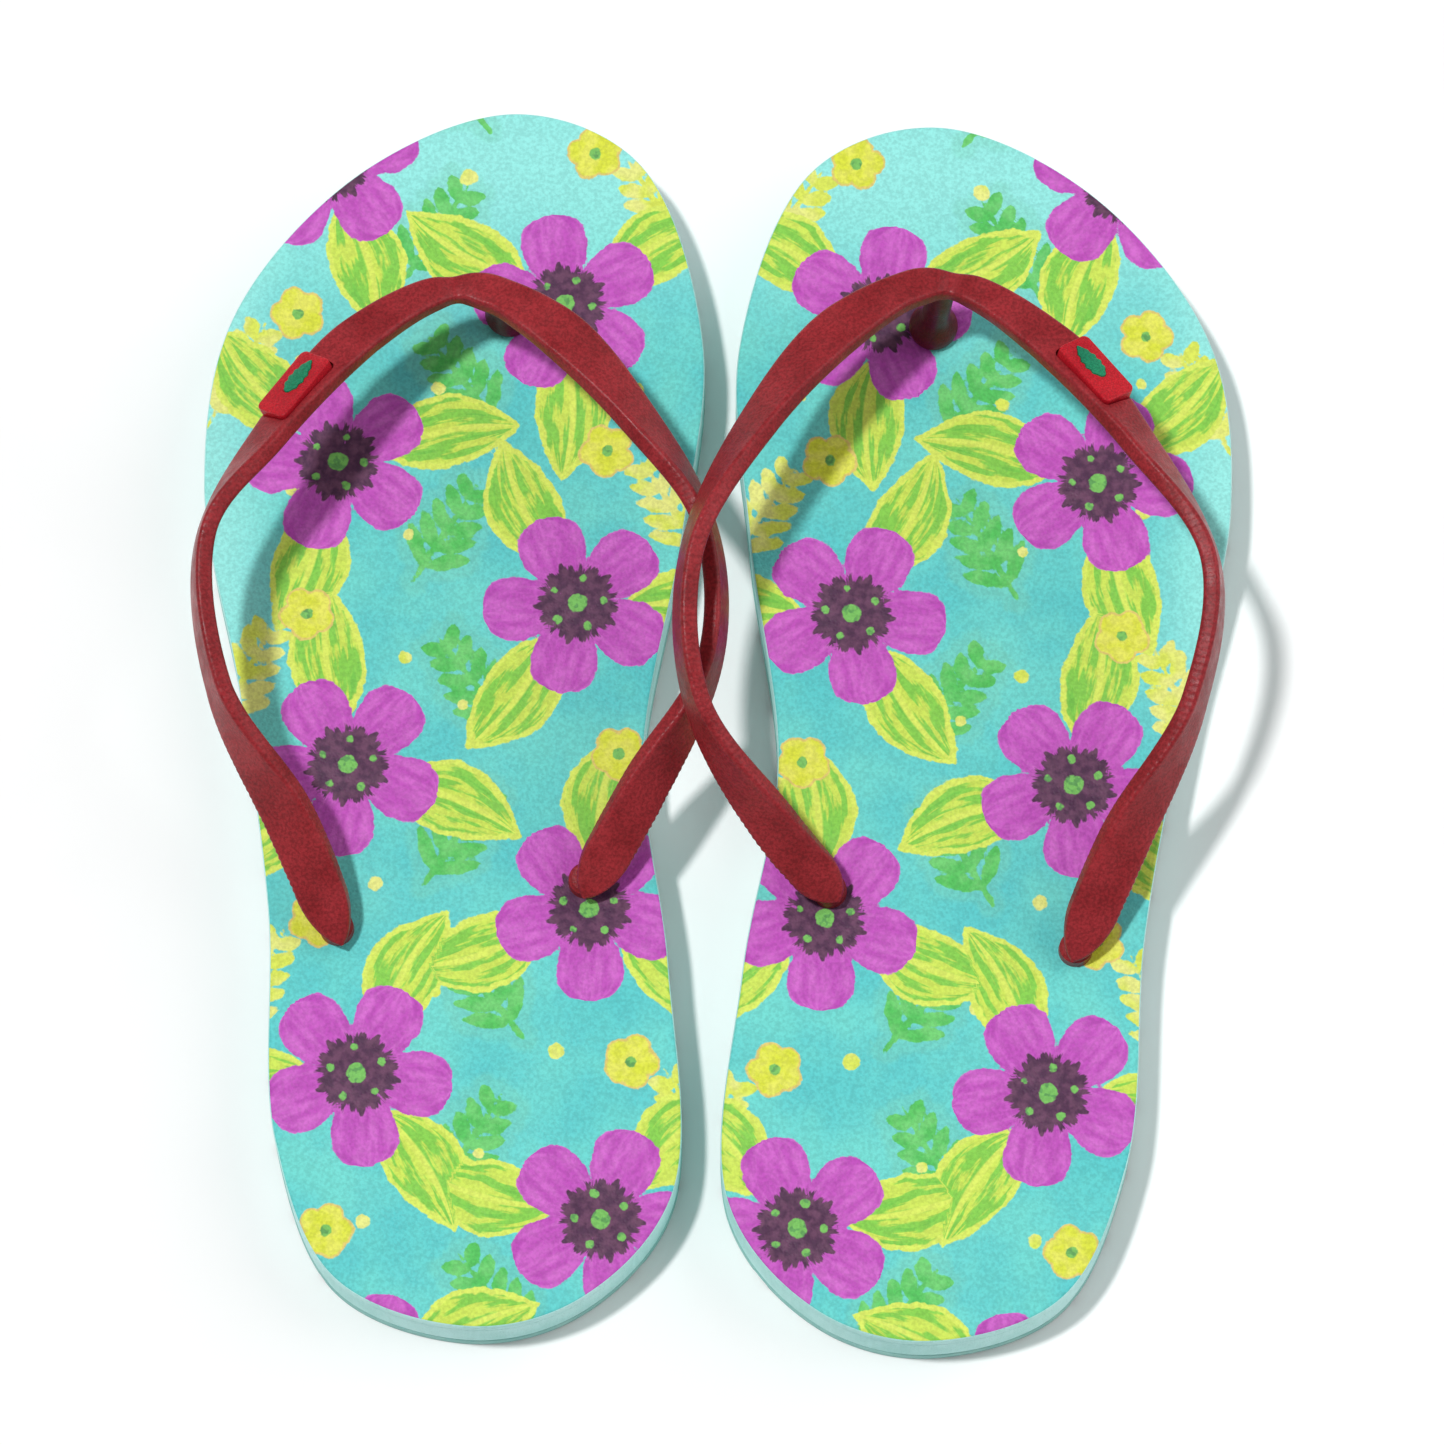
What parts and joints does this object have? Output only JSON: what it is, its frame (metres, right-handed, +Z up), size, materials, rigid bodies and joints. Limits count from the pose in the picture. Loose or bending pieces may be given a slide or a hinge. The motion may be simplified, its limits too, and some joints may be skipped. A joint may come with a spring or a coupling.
{
  "type": "pair of thong sandals",
  "caption": "Pair of flat thong sandals with a tropical flower print footbed and red Y-shaped toe-post straps, lying side by side.",
  "frame": {"origin": "middle of the pair's bounding box, on the ground under the soles", "axes": "+Z up, +Y from the heels toward the toes, +X toward the wearer's right, so the left thong is on the -X side and the right thong on the +X side"},
  "size_m": [0.2028, 0.2496, 0.0536],
  "materials": {
    "outsole_rubber": "matt moulded foam rubber, aqua",
    "aqua_foam": "matt cut foam rubber, pale aqua",
    "printed_foam": "matt foam rubber with a printed flower and leaf pattern on aqua",
    "red_strap": "satin moulded rubber, dark red, fine grain",
    "badge_red": "satin soft plastic, bright red",
    "badge_green": "satin soft plastic, green"
  },
  "bodies": {
    "left_thong": {"left_outsole": "outsole_rubber", "left_midsole": "aqua_foam", "left_printed_footbed": "printed_foam", "left_strap": "red_strap", "left_badge_plate": "badge_red", "left_badge_leaf": "badge_green"},
    "right_thong": {"right_outsole": "outsole_rubber", "right_midsole": "aqua_foam", "right_printed_footbed": "printed_foam", "right_strap": "red_strap", "right_badge_plate": "badge_red", "right_badge_leaf": "badge_green"}
  },
  "joints": [
    {"name": "right_thong_lift", "type": "slide", "parent": "left_thong", "child": "right_thong", "axis": [0, 0, 1], "range_m": [0, 0.12]}
  ]
}
